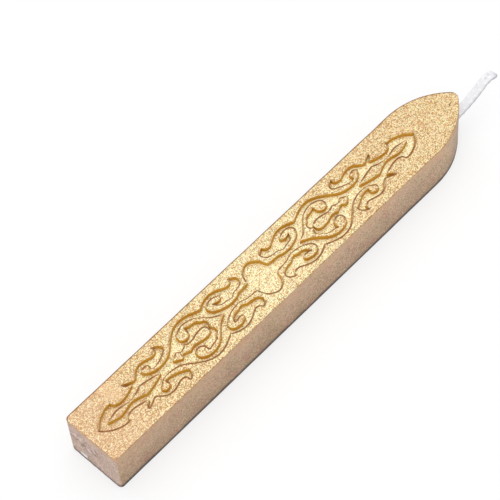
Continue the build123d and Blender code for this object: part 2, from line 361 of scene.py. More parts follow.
class Paint:
    """One material: its nodes are added by a single method and joined by wires."""

    def __init__(self, name):
        self.material = bpy.data.materials.new(name)
        self.material.use_nodes = True
        self.tree = self.material.node_tree
        self.tree.nodes.clear()

    def node(self, kind, settings=None, sockets=None, output=0):
        """Add a node, set it up, fill or link its sockets and give one of its outputs, if any."""
        node = self.tree.nodes.new(kind)
        for name, value in (settings or {}).items():
            if name == "stops":
                self.set_ramp(node.color_ramp, value)
            else:
                setattr(node, name, value)
        for name, value in (sockets or {}).items():
            if isinstance(value, Wire):
                self.tree.links.new(value.socket, node.inputs[name])
            else:
                node.inputs[name].default_value = value
        return None if output is None else Wire(self, node.outputs[output])

    @staticmethod
    def set_ramp(ramp, stops):
        while len(ramp.elements) < len(stops):
            ramp.elements.new(1.0)
        for element, (place, colour) in zip(ramp.elements, stops):
            element.position = place
            element.color = (*colour, 1.0)

    def place(self):
        """Object coordinates, in metres."""
        return self.node("ShaderNodeTexCoord", output="Object")

    def attribute(self, name):
        return self.node("ShaderNodeAttribute", {"attribute_name": name}, output="Fac")

    def axis(self, vector, name):
        return self.node("ShaderNodeSeparateXYZ", sockets={0: vector}, output=name)

    def noise(self, vector, size, detail=2.0, roughness=0.5):
        """Soft noise whose lumps are about the given size in metres."""
        sockets = {"Vector": vector, "Scale": 1 / size, "Detail": detail, "Roughness": roughness}
        return self.node("ShaderNodeTexNoise", sockets=sockets, output="Fac")

    def flakes(self, vector, size):
        """A random colour for each cell of about the given size in metres."""
        return self.node("ShaderNodeTexVoronoi", sockets={"Vector": vector, "Scale": 1 / size},
                         output="Color")

    def stretched(self, vector, location=(0, 0, 0), turn=(0, 0, 0), scale=(1, 1, 1)):
        """Coordinates moved, turned and divided by a size, which centre a mark on the piece."""
        sockets = {"Vector": vector, "Location": location, "Rotation": turn, "Scale": scale}
        return self.node("ShaderNodeMapping", {"vector_type": "TEXTURE"}, sockets)

    def span(self, value, low, high, start=0.0, end=1.0):
        """A smooth step from start at low to end at high."""
        sockets = {"Value": value, "From Min": low, "From Max": high, "To Min": start, "To Max": end}
        return self.node("ShaderNodeMapRange", {"interpolation_type": "SMOOTHSTEP"}, sockets)

    def blot(self, vector, centre, half_size, turn=0.0, core=0.5):
        """1 inside an oval mark that stands through the piece, fading to 0 at its rim."""
        oval = self.stretched(vector, centre, (0, 0, turn), half_size)
        return self.span(self.vectors("LENGTH", oval, output="Value"), core, 1.0, 1.0, 0.0)

    def mix(self, share, first, second, blend="MIX"):
        settings = {"data_type": "RGBA", "blend_type": blend, "clamp_factor": True}
        first = first if isinstance(first, Wire) else (*first, 1.0)
        second = second if isinstance(second, Wire) else (*second, 1.0)
        return self.node("ShaderNodeMix", settings, {0: share, 6: first, 7: second}, 2)

    def layers(self, colour, *coats):
        """Coats over a colour, one after another: each a share, a tint and any other blend."""
        for share, tint, *blend in coats:
            colour = self.mix(share, colour, tint, *blend)
        return colour

    def ramp(self, value, stops):
        return self.node("ShaderNodeValToRGB", {"stops": stops}, {"Fac": value})

    def channel(self, colour, name):
        return self.node("ShaderNodeSeparateColor", sockets={0: colour}, output=name)

    def bump(self, height, distance, strength=1.0):
        sockets = {"Height": height, "Distance": distance, "Strength": strength}
        return self.node("ShaderNodeBump", sockets=sockets)

    def vectors(self, operation, *values, output=0):
        """Arithmetic on vectors."""
        settings = {"operation": operation}
        return self.node("ShaderNodeVectorMath", settings, dict(enumerate(values)), output)

    def finish(self, shader):
        self.node("ShaderNodeOutputMaterial", sockets={"Surface": shader}, output=None)
        return self.material


class PearlWax(Paint):
    """Paint of the gold wax, with the grain, clouds and marks that its finishes share."""

    def __init__(self, settings):
        super().__init__("gold_pearl_wax")
        self.settings = settings
        self.spot = self.place()
        self.along = self.axis(self.spot, "X")
        self.up = self.axis(self.spot, "Z")
        self.flake_tones = self.flakes(self.spot, FINE_FLAKE)
        self.fine = self.channel(self.flake_tones, "Red")
        self.large = self.channel(self.flakes(self.spot, LARGE_FLAKE), "Green")
        self.cloud = self.noise(self.spot, CLOUD, 3.0)
        # Grain of the sides, with painted light: lighter towards the face
        self.satin_grain = (self.noise(self.spot, SATIN_GRAIN) * 0.5 + self.fine * 0.2
                            + self.cloud * 0.15 + self.up * (0.15 / settings.height))
        self.streaks = self.noise(self.stretched(
            self.spot, turn=(0.15, 0, 0), scale=(0.004, 0.0011, 0.0010)), 1.0)
        self.butt = self.span(self.along, BAR_LOW[0] + 0.0005, BAR_LOW[0] + 0.0002)
        self.rosy = self.span(self.along, -0.028, -0.042)
        self.smear = self.face_mark((-0.0366, 0.0037), (0.0017, 0.0026), 0.3, 0.6)
        self.smudge = self.face_mark((0.0361, 0.0003), (0.0009, 0.0022), 0.2, 0.1)
        self.scratch = self.face_mark((0.04245, -0.00073), (0.00050, 0.00016), 0.375, 0.4)

    def face_mark(self, centre, half_size, turn, core):
        """An oval mark on the ornamented face."""
        centre = (*centre, self.settings.height)
        return self.blot(self.spot, centre, (*half_size, MARK_REACH), turn, core)

    def under_face(self, first, last):
        """A smooth step between two depths under the ornamented face."""
        return self.span(self.up, self.settings.height - first, self.settings.height - last)

    def face(self):
        """Mica flakes over soft clouds; painted light on the sunk floors, made by dimming the level
        face, less in its middle; plainer and rosy by the butt.
        """
        settings = self.settings
        sunk = self.attribute("sunk")
        middle = self.blot(self.spot, (-0.003, 0, settings.height), (0.03, 0.02, 0.05), 0.0, 0.1)
        grain = self.fine * 0.78 + self.large * 0.10 + self.cloud * 0.12
        # Painted light: the level face darker than the sunk floors, and the floors lighter towards the
        # nose
        grain = grain - 0.06 * (1.0 - sunk) * (1.0 - middle)
        grain = grain + sunk * self.span(self.along, -0.02, 0.02, 0.03, 0.11)
        grain = grain + (self.smear * 0.4 + self.rosy * 0.25) * (0.54 - grain)
        colour = self.ramp(grain, [(0.28, settings.flake_dark), (0.5, settings.pearl),
                                   (0.70, settings.flake_light)])
        tint = self.channel(self.flake_tones, "Blue")
        return self.layers(
            colour,
            ((1.0 - sunk) * (0.6 - middle * 0.4), settings.dim_against_lit_floors, "MULTIPLY"),
            (self.span(tint, 0.55, 1.0) * 0.3, ROSE_FLAKES, "MULTIPLY"),
            (self.rosy * 0.75, self.ramp(self.fine, SPARKLE_STOPS)),
            (self.smear * 0.12, SMEARED),
            (self.smudge * 0.45, SMUDGED),
            (self.scratch * 0.9, SCRATCHED))

    def satin(self):
        """Rubbed grain of the long sides with faint hues, painted light warm under the face, darker
        towards the butt end, and painted shade at the nose and round its tip.
        """
        settings = self.settings
        hue = self.noise(self.spot, HUE_PATCH)
        return self.layers(
            settings.satin,
            (self.span(self.satin_grain, 0.40, 0.60), settings.satin_light),
            (self.span(hue, 0.5, 0.68) * 0.9, PINK_HUE, "MULTIPLY"),
            (self.span(hue, 0.5, 0.32) * 0.7, GREEN_HUE, "MULTIPLY"),
            # Painted light under the face
            (self.under_face(0.0032, 0.0003) * self.cloud * 0.8, settings.satin_warm),
            (self.span(self.along, 0.02, -0.04) * 0.2, BUTT_END_DARKER),
            (self.span(self.along, 0.036, 0.0435) * 0.45, NOSE_SIDE_SHADE),
            (self.span(self.along, 0.0430, 0.0446) * 0.85, TIP_SHADE))

    def cut(self):
        """Dull grain of the trimmed butt, torn and smeared in a band, and warm at its top."""
        settings = self.settings
        band = self.blot(self.spot, (BAR_LOW[0], 0.0016, 0.0060), (0.004, 0.0056, 0.0026), 0.0, 0.35)
        torn = self.span(self.streaks + 0.15 * (self.fine - 0.5), 0.47, 0.34) * band
        smeared = self.span(self.streaks, 0.54, 0.66) * (0.35 + 0.65 * band)
        grain = self.noise(self.spot, CUT_GRAIN, 3.0, 0.6) * 0.6 + self.fine * 0.2 + self.cloud * 0.2
        return self.layers(
            settings.trim_dark,
            (self.span(grain, 0.36, 0.64), settings.trimmed),
            (smeared * 0.85, settings.trim_light),
            (torn * 0.95, settings.trim_mark),
            (self.under_face(0.0016, 0.0004) * 0.7, WARM_CUT))

    def flank(self):
        """Long sides and butt, with a painted contact shadow at their foot."""
        uneven = 0.0006 * (self.cloud - 0.5) + 0.0005 * (self.satin_grain - 0.5)
        # Painted contact shadow: darker towards the foot, its top broken by noise, less on the butt
        painted_foot_shadow = self.span(self.up + uneven, 0.0014, 0.0004) * (1.0 - self.butt * 0.4)
        return self.layers(self.satin(), (self.butt, self.cut()), (painted_foot_shadow, self.settings.painted_foot_shadow))

    def clear(self):
        """Clear amber of the scroll walls with painted inter-reflected light, deeper towards their
        foot as painted shade in the scrolls.
        """
        settings = self.settings
        low = self.under_face(0.0002, 0.0007) * 0.6 + self.fine * 0.3
        return self.layers(settings.amber, (low, settings.amber_low_shade), (self.rosy * 0.5, PALE_AMBER))

    def facing(self, side, top):
        """The surface's normal over its fine relief, leant by each flake's own random tone."""
        height = (self.fine * 0.5 + self.large * 0.5) * top * (1.0 - self.smear * 0.5)
        height = height + self.satin_grain * side * 0.7
        height = height + self.streaks * self.butt * side * 1.5 - self.scratch * 4.0
        lean = self.vectors("SUBTRACT", self.flake_tones, (0.5, 0.5, 0.5))
        share = (0.06 + 0.34 * top) * (1.0 - self.smear * 0.4)
        lean = self.node("ShaderNodeVectorMath", {"operation": "SCALE"}, {0: lean, "Scale": share})
        return self.vectors("NORMALIZE", self.vectors("ADD", self.bump(height, 0.00002, 0.6), lean))


def pearl_wax(settings):
    """Gold pearl wax: mica grain on the face, clear amber with painted inter-reflected light on the
    walls, painted shade lines on lips and edges, and satin sides painted darker for their shade.
    """
    paint = PearlWax(settings)
    wall = paint.attribute("wall")
    lip = paint.attribute("lip")
    side = paint.attribute("side")
    top = 1.0 - side
    colour = paint.layers(
        paint.face(), (side, paint.flank()), (wall, paint.clear()), (lip, settings.lip))
    roughness = 0.40 + 0.10 * side + 0.12 * paint.large - 0.05 * wall + 0.06 * paint.smear
    metallic = 0.30 * top * (1.0 - wall) * (1.0 - lip) + 0.92 * lip
    shader = paint.node("ShaderNodeBsdfPrincipled", {"subsurface_method": "RANDOM_WALK"}, {
        "Base Color": colour, "Roughness": roughness, "Metallic": metallic,
        "Normal": paint.facing(side, top), "IOR": 1.45, "Subsurface Weight": 0.4,
        "Subsurface Radius": (1.0, 0.55, 0.20), "Subsurface Scale": 0.0004})
    return paint.finish(shader)


def primer_wax(settings):
    """White priming wax, with painted shade between the strands, over the flat wick's edges, on one
    side of its cut end and in the gaps.
    """
    paint = Paint("white_primer_wax")
    place = paint.place()
    relief = paint.attribute("relief")
    edge = paint.attribute("edge")
    specks = paint.noise(place, PRIMER_SPECK, 3.0)
    colour = paint.layers(
        settings.primer_shade,
        (paint.span(relief, 0.0, 0.8), settings.primer),
        (paint.span(specks, 0.55, 0.8) * 0.4, settings.primer_shade),
        (edge, settings.primer_painted_shade))
    shader = paint.node("ShaderNodeBsdfPrincipled", sockets={
        "Base Color": colour, "Roughness": 0.46 + 0.18 * specks,
        "Normal": paint.bump(specks, 0.00003, 0.5), "IOR": 1.44})
    return paint.finish(shader)


def cotton_yarn(settings):
    """Bleached cotton: pale plies with painted shade between them and a fine fibre grain."""
    paint = Paint("bleached_cotton")
    place = paint.place()
    ply = paint.attribute("ply")
    fibres = paint.noise(place, COTTON_FIBRE, 2.0, 0.6)
    colour = paint.layers(
        settings.cotton_shade,
        (paint.span(ply, 0.1, 0.7), settings.cotton),
        (paint.span(fibres, 0.5, 0.8) * 0.5, settings.cotton_shade))
    shader = paint.node("ShaderNodeBsdfPrincipled", sockets={
        "Base Color": colour, "Roughness": 0.8 + 0.15 * fibres, "Sheen Weight": 0.3,
        "Normal": paint.bump(fibres + ply, 0.00002, 0.7)})
    return paint.finish(shader)


def pale_floor(settings):
    """Matt pale floor that keeps shadows, part of it plain white to the camera and in gloss."""
    paint = Paint("pale_floor")
    seen = paint.node("ShaderNodeLightPath", output="Is Camera Ray")
    glossy = paint.node("ShaderNodeLightPath", output="Is Glossy Ray")
    through = paint.node("ShaderNodeLightPath", output="Is Transmission Ray")
    rays = seen + glossy + through
    direct = rays.maths("MINIMUM", rays, 1.0)
    matt = paint.node("ShaderNodeBsdfDiffuse", sockets={"Color": (*settings.floor, 1.0)})
    white = paint.node("ShaderNodeEmission", sockets={"Color": (1, 1, 1, 1), "Strength": 1.0})
    shader = paint.node("ShaderNodeMixShader",
                        sockets={0: direct * settings.floor_glow, 1: matt, 2: white})
    return paint.finish(shader)


def joined(parts):
    """Lines end to end, without doubling the points where they meet."""
    return np.concatenate([*[part[:-1] for part in parts[:-1]], parts[-1]])


def mirrored(line, along_sign, across_sign):
    """A line's reflection, run the other way when it is flipped over one axis."""
    image = line * (along_sign, across_sign)
    return image[::-1] if along_sign * across_sign < 0 else image


def smooth_stroke(points):
    """Natural cubic spline through points, its parameter growing by the root of each chord."""
    points = np.array(points, float)
    chords = np.linalg.norm(np.diff(points, axis=0), axis=1)
    knots = np.concatenate([[0], np.cumsum(np.sqrt(chords))])
    spans = np.diff(knots)
    count = len(points)
    inner = np.arange(1, count - 1)
    system = np.eye(count)
    system[inner, inner - 1] = spans[:-1]
    system[inner, inner] = 2 * (spans[:-1] + spans[1:])
    system[inner, inner + 1] = spans[1:]
    pull = np.zeros_like(points)
    pull[inner] = 6 * np.diff(np.diff(points, axis=0) / spans[:, None], axis=0)
    bend = np.linalg.solve(system, pull)
    places = np.linspace(0, knots[-1], int(chords.sum() / LINE_STEP) + 2)
    leg = np.clip(np.searchsorted(knots, places, side="right") - 1, 0, count - 2)
    before = (places - knots[leg])[:, None]
    after = (knots[leg + 1] - places)[:, None]
    wide = spans[leg][:, None]
    curve = (bend[leg] * after**3 + bend[leg + 1] * before**3) / (6 * wide)
    curve += (points[leg] / wide - bend[leg] * wide / 6) * after
    curve += (points[leg + 1] / wide - bend[leg + 1] * wide / 6) * before
    return curve


def whole_stroke(stroke, along_sign, across_sign):
    """A stroke drawn whole over the mirror line that it starts on."""
    other_half = [(along * along_sign, across * across_sign) for along, across in stroke[:0:-1]]
    return smooth_stroke(other_half + stroke)


def border_line():
    """The ornament's outside line: a dome and an arm, reflected over both axes."""
    dome = whole_stroke(BORDER_STROKES[0], -1, 1)
    arm = joined([smooth_stroke(stroke) for stroke in BORDER_STROKES[1:]])
    upper = joined([mirrored(arm, -1, 1), dome, arm])
    return joined([upper, mirrored(upper, 1, -1)])[:-1]


def island_lines():
    """Lines of the level islands inside the ornament: heart, club and lozenge on each arm."""
    heart = joined([smooth_stroke(stroke) for stroke in HEART_STROKES])
    head = whole_stroke(CLUB_STROKES[0], 1, -1)
    club = joined([smooth_stroke(stroke) for stroke in CLUB_STROKES[1:]])
    lozenge = joined([smooth_stroke(stroke) for stroke in LOZENGE_STROKES])
    loops = [joined([half, mirrored(half, 1, -1)])[:-1] for half in (heart, lozenge)]
    loops.append(joined([head, club, mirrored(club, 1, -1)])[:-1])
    return loops + [mirrored(loop, -1, 1) for loop in loops]


def run_lengths(line):
    """Distance along a line to each of its points."""
    return np.concatenate([[0], np.cumsum(np.linalg.norm(np.diff(line, axis=0), axis=1))])


def at_places(line, known, places):
    """A line's points read at given places."""
    return np.stack([np.interp(places, known, column) for column in line.T], axis=1)


def unit(rows):
    """Vectors brought to length one."""
    return rows / np.linalg.norm(rows, axis=-1, keepdims=True)


def left_of(headings):
    """Flat directions turned a quarter to the left."""
    return np.stack([-headings[:, 1], headings[:, 0]], axis=1)


def turned(loop, anticlockwise):
    """A closed line run the asked way round, told by the sign of its area."""
    ahead = np.roll(loop, -1, axis=0)
    area = (loop[:, 0] * ahead[:, 1] - loop[:, 1] * ahead[:, 0]).sum()
    return loop if (area > 0) == anticlockwise else loop[::-1]


def eased(loop, reach):
    """A closed line averaged along its length under a bell curve, which rounds its corners."""
    closed = np.vstack([loop, loop[:1]])
    run = run_lengths(closed)
    count = int(run[-1] / LINE_STEP)
    even = at_places(closed, run, np.arange(count) * run[-1] / count)
    waves = np.fft.fftfreq(count, run[-1] / count)
    damping = np.exp(-0.5 * (TAU * waves * reach) ** 2)
    return np.fft.ifft(np.fft.fft(even, axis=0) * damping[:, None], axis=0).real


def spaced(loop):
    """Points along a closed line, closer where it bends, with their unit normals to its left.

    The gap between points is a fixed turn divided by the bend there, within two limits.
    """
    ahead = np.roll(loop, -1, axis=0) - loop
    step = np.linalg.norm(ahead, axis=1)
    tangent = unit(ahead + np.roll(ahead, 1, axis=0))
    following = np.roll(tangent, -1, axis=0)
    turn = np.abs(tangent[:, 0] * following[:, 1] - tangent[:, 1] * following[:, 0])
    gap = np.clip(CORNER_TURN * step / np.maximum(turn, 1e-9), FINEST_GAP, WIDEST_GAP)
    ticks = np.concatenate([[0], np.cumsum(step / gap)])
    count = int(math.ceil(ticks[-1]))
    places = np.arange(count) * ticks[-1] / count
    points = at_places(np.vstack([loop, loop[:1]]), ticks, places)
    headings = at_places(np.vstack([tangent, tangent[:1]]), ticks, places)
    return points, left_of(unit(headings))


def room_beside(points, normals, walls):
    """Radius of the largest circle that touches each point on its normal's side and no wall.

    It is the least, over the walls' points, of the distance squared over twice the distance
    along the normal.
    """
    def least(part):
        apart = walls[None] - points[part][:, None]
        square = (apart**2).sum(axis=2)
        ahead = (apart * normals[part][:, None]).sum(axis=2)
        beyond = ahead > 1e-4 * np.sqrt(square) + 1e-9
        return np.where(beyond, square / (2 * np.maximum(ahead, 1e-9)), np.inf).min(axis=1)
    parts = np.array_split(np.arange(len(points)), SPLITS)
    return np.concatenate([least(part) for part in parts])


def inside(points, loops):
    """Whether each point lies inside an odd number of closed lines, by counting crossings."""
    crossings = np.zeros(len(points), int)
    for loop in loops:
        start = loop[None]
        end = np.roll(loop, -1, axis=0)[None]
        along = points[:, None, 0]
        across = points[:, None, 1]
        run = end[..., 0] - start[..., 0]
        rise = end[..., 1] - start[..., 1]
        rise = np.where(rise == 0, 1e-12, rise)
        spans = (start[..., 1] > across) != (end[..., 1] > across)
        meets = start[..., 0] + (across - start[..., 1]) * run / rise
        crossings += (spans & (along < meets)).sum(axis=1)
    return crossings % 2 == 1


def flat_fill(loops):
    """Triangles that fill the flat between closed lines, with a lattice of points inside.

    Gives the lattice points and triangles whose numbers count the lines' points first.
    """
    edge_points = np.concatenate(loops)
    low = edge_points.min(axis=0)
    high = edge_points.max(axis=0)
    columns = np.arange(low[0], high[0], FILL_GAP)
    rows = np.arange(low[1], high[1], FILL_GAP)
    lattice = np.stack(np.meshgrid(columns, rows, indexing="ij"), axis=2).reshape(-1, 2)
    lattice = lattice[inside(lattice, loops)]
    gaps = [np.linalg.norm(part[:, None] - edge_points[None], axis=2).min(axis=1)
            for part in np.array_split(lattice, SPLITS)]
    lattice = lattice[np.concatenate(gaps) > FILL_GAP / 3]
    points = np.concatenate([edge_points, lattice])
    starts = np.cumsum([0] + [len(loop) for loop in loops])
    rings = [np.arange(first, last) for first, last in zip(starts, starts[1:])]
    edges = np.concatenate([np.stack([ring, np.roll(ring, -1)], axis=1) for ring in rings])
    filled = delaunay_2d_cdt([Vector(point) for point in points], edges.tolist(), [], 0, 1e-7)
    if len(filled[0]) != len(points):
        raise RuntimeError(f"the fill moved {abs(len(filled[0]) - len(points))} points")
    triangles = np.array(filled[2])
    return lattice, triangles[inside(points[triangles].mean(axis=1), loops)]


def grid_faces(first, along, rows, downward_left):
    """Quads of a grid that closes on itself along its first direction."""
    here = np.arange(along)
    there = np.roll(here, -1)
    row = np.arange(rows - 1)[None]
    corners = [first + step[:, None] * rows + row + down
               for step, down in ((here, 0), (there, 0), (there, 1), (here, 1))]
    quads = np.stack(corners, axis=2).reshape(-1, 4)
    return quads if downward_left else quads[:, ::-1]


def unevenness(first, second, patch, seed):
    """Smooth unevenness of about unit height: eight plane waves, each turned by the golden angle."""
    wave = np.arange(1, 9)
    turn = GOLDEN_ANGLE * (wave + seed)
    length = patch * (0.6 + 0.1 * wave)
    travel = first[..., None] * np.cos(turn) + second[..., None] * np.sin(turn)
    return np.sin(TAU * travel / length + GOLDEN_ANGLE * wave**2 + seed).sum(axis=-1) / 2


def smooth_step(value, low, high):
    share = np.clip((value - low) / (high - low), 0, 1)
    return share * share * (3 - 2 * share)


def bar_plan(size):
    """Points and outward normals round the bar, anticlockwise.

    Every piece of the outline is a centre that stays or slides, plus a radius along the normal:
    rounded butt corners, straight sides, two arcs of a pointed arch and the round of its tip.
    """
    half = size["width"] / 2
    butt = -size["length"] / 2
    nose = size["length"] / 2
    corner = size["corner_radius"]
    tip = size["tip_radius"]
    shoulder = nose - size["nose_length"]
    reach = size["nose_length"] - tip
    arch = (reach**2 + half**2 - tip**2) / (2 * (half - tip))
    sweep = math.asin(reach / (arch - tip))
    quarter = math.pi / 2
    near_corner = (butt + corner, corner - half)
    far_corner = (butt + corner, half - corner)
    near_arch = (shoulder, arch - half)
    far_arch = (shoulder, half - arch)
    tip_middle = (nose - tip, 0)
    lines = [
        (near_corner, near_corner, corner, -math.pi, -quarter, CORNER_POINTS),
        ((butt + corner, 0), (shoulder, 0), half, -quarter, -quarter, LONG_SIDE_POINTS),
        (near_arch, near_arch, arch, -quarter, sweep - quarter, ARCH_POINTS),
        (tip_middle, tip_middle, tip, sweep - quarter, quarter - sweep, TIP_POINTS),
        (far_arch, far_arch, arch, quarter - sweep, quarter, ARCH_POINTS),
        ((shoulder, 0), (butt + corner, 0), half, quarter, quarter, LONG_SIDE_POINTS),
        (far_corner, far_corner, corner, quarter, math.pi, CORNER_POINTS),
        (far_corner, near_corner, corner, math.pi, math.pi, BUTT_POINTS),
    ]
    points = []
    normals = []
    for start, end, radius, first_angle, last_angle, count in lines:
        share = np.arange(count)[:, None] / count
        angle = first_angle + (last_angle - first_angle) * share
        normal = np.concatenate([np.cos(angle), np.sin(angle)], axis=1)
        points.append(np.array(start) * (1 - share) + np.array(end) * share + radius * normal)
        normals.append(normal)
    return np.concatenate(points), np.concatenate(normals)


def edge_line(turn):
    """How dark a rounded edge's painted shade line is by its turn: full over its first half, then
    fading to nothing.
    """
    return np.cos(np.clip(2 * turn - math.pi / 2, 0, math.pi / 2))


def rim_section(size):
    """Inset and height down the bar's side, the two darknesses of its edge's painted shade line and
    how satin it is.

    A narrow band on the face, a round top edge, the wall and a round base edge. The line is
    either along the whole of the round or only half way down it.
    """
    turn = np.linspace(0, math.pi / 2, EDGE_STEPS + 1)
    face = size["face_edge"]
    base = size["base_edge"]
    walls = np.linspace(size["height"] - face, base, SIDE_ROWS + 1)[1:-1]
    inset = np.concatenate([[face + size["rim_line"]], face * (1 - np.sin(turn)), 0 * walls,
                            base * (1 - np.cos(turn))])
    height = np.concatenate([[size["height"]], size["height"] - face * (1 - np.cos(turn)), walls,
                             base * (1 - np.sin(turn))])
    whole_line = np.concatenate([[0], edge_line(turn), 0 * walls, 0 * turn])
    half_line = np.concatenate([[0], np.sin(2 * turn), 0 * walls, 0 * turn])
    satin = np.concatenate([[0], smooth_step(turn, 0.85, 1.35), 1 + 0 * walls, 1 + 0 * turn])
    return inset, height, (whole_line, half_line), satin


def lip_section(size):
    """Offset and depth from the face into a scroll, with how dark its painted shade line is and how
    clear the wax is there.

    A band on the face in two steps, a round lip, a leaning wall and a round foot. The lip's painted
    shade line is dark from the band's inner step to the start of the round and fades over two
    thirds of it. The wax is clear from there to the middle of the foot.
    """
    turn = np.linspace(0, math.pi / 2, LIP_STEPS + 1)
    lip = size["lip_radius"]
    foot = size["floor_radius"]
    depth = size["ornament_depth"]
    fall = np.linspace(0, depth - lip - foot, WALL_STEPS + 1)[1:-1]
    lean = math.tan(size["wall_draft"])
    wall_foot = lip / 2 + lean * (depth - lip - foot)
    band = -lip / 2 - size["lip_line"] * np.array([1.0, 0.5])
    offset = np.concatenate([band, lip * (np.sin(turn) - 0.5),
                             lip / 2 + lean * fall, wall_foot + foot * (1 - np.cos(turn))])
    drop = np.concatenate([0 * band, lip * (1 - np.cos(turn)), lip + fall,
                           depth - foot + foot * np.sin(turn)])
    # Painted shade line of the lip
    dark = np.concatenate([[0, 0.9], 0.85 * edge_line(turn + 0.5), 0 * fall, 0 * turn])
    clear = np.concatenate([0 * band, smooth_step(turn, 0.4, 1.3), 1 + 0 * fall,
                            1 - smooth_step(turn, 0.7, 1.3)])
    return offset, drop, dark, clear


def side_relief(size, points, normals, height):
    """How far the side stands in: faint casting waves, trim marks, a nick and a seam's groove."""
    along = np.repeat(points[:, :1], len(height), axis=1)
    across = np.repeat(points[:, 1:], len(height), axis=1)
    up = np.repeat(height[None], len(points), axis=0)
    butt = smooth_step(-normals[:, :1], 0.7, 1.0)
    nose = smooth_step(along, *(size["length"] / 2 - before for before in SEAM_BEFORE_TIP))
    waves = WAVE_DEPTH * (unevenness(along + across, up, WAVE_PATCH, 1) - 1.5)
    slant = across * TRIM_SLANT[0] + up * TRIM_SLANT[1]
    streaks = unevenness(slant * 6.0, across - up, 4.0, 3) - 0.5 * np.abs(
        unevenness(slant * 9.0, (across - up) * 1.6, 5.0, 5))
    trim = size["trim_relief"] * (streaks * 0.6 - 0.8)
    groove = -SEAM_DEPTH * np.exp(-((up - SEAM_HEIGHT) / SEAM_WIDTH) ** 2) * nose
    beside = (along - NICK_ALONG) / NICK_REACH[0]
    below = (up - size["height"]) / NICK_REACH[1]
    nick = -NICK_DEPTH * np.exp(-(beside**2 + below**2)) * (across < 0)
    foot = smooth_step(up, 0.9, 0.2)
    ragged = -RAGGED_DEPTH * butt * foot * np.abs(unevenness(across, up, 2.2, 7))
    relief = np.minimum(waves * (1 - butt) + butt * trim + groove + nick + ragged, 0)
    held = smooth_step(up, 0.0, 0.25)
    held[:, 0] = 0
    return relief * held


def vertex_normals(points, faces):
    """Unit normals of points from the faces round them, each face counted by its area."""
    total = np.zeros_like(points)
    for group in faces:
        corner = points[group]
        last = corner[:, -1]
        base = last if group.shape[1] == 4 else corner[:, 0]
        cross = np.cross(corner[:, 1] - base, corner[:, 2] - corner[:, 0])
        for column in group.T:
            np.add.at(total, column, cross)
    return total / np.maximum(np.linalg.norm(total, axis=1)[:, None], 1e-12)


def add_object(name, data):
    """An object that holds some data, linked to the scene."""
    made = bpy.data.objects.new(name, data)
    bpy.context.scene.collection.objects.link(made)
    return made


def put_piece(name, points, faces, material, normals=None, **attributes):
    """Make a mesh piece of points in millimetres, with shading normals and point attributes."""
    mesh = bpy.data.meshes.new(name)
    rows = [row for group in faces for row in group.tolist()]
    mesh.from_pydata((points * MM).tolist(), [], rows, shade_flat=False)
    for key, values in attributes.items():
        attribute = mesh.attributes.new(key, "FLOAT", "POINT")
        attribute.data.foreach_set("value", values.astype(np.float32))
    mesh.materials.append(material)
    mesh.update()
    if normals is not None:
        mesh.normals_split_custom_set_from_vertices(normals.tolist())
    return add_object(name, mesh)


def fit_to_frame(piece, slot, *nodes):
    """Tie a piece to the stick's body and hide the solids that it stands for. Its finish's slot is not
    used.
    """
    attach(piece, BODY)
    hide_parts(*nodes)


def millimetre_sizes(settings):
    """Every single number of a settings group, lengths in millimetres and angles as they are."""
    sizes = {}
    for key, rule in settings.bl_rna.properties.items():
        if rule.type == "FLOAT" and not rule.is_array:
            sizes[key] = getattr(settings, key) / (MM if rule.unit == "LENGTH" else 1)
    return sizes


def ornament_lines(size):
    """The ornament's lines fitted to the face, each as points and unit normals into the scroll."""
    before = size["ornament_butt_margin"]
    after = size["ornament_nose_margin"]
    half_length = (size["length"] - before - after) / 2
    half_width = size["width"] / 2 - size["ornament_side_margin"]
    scale = (half_length / DRAWING_LENGTH, half_width / DRAWING_WIDTH)
    drawn = [(border_line(), True)] + [(island, False) for island in island_lines()]
    fitted = [turned(line * scale + ((before - after) / 2, 0), way) for line, way in drawn]
    return [spaced(eased(line, size["corner_ease"])) for line in fitted]


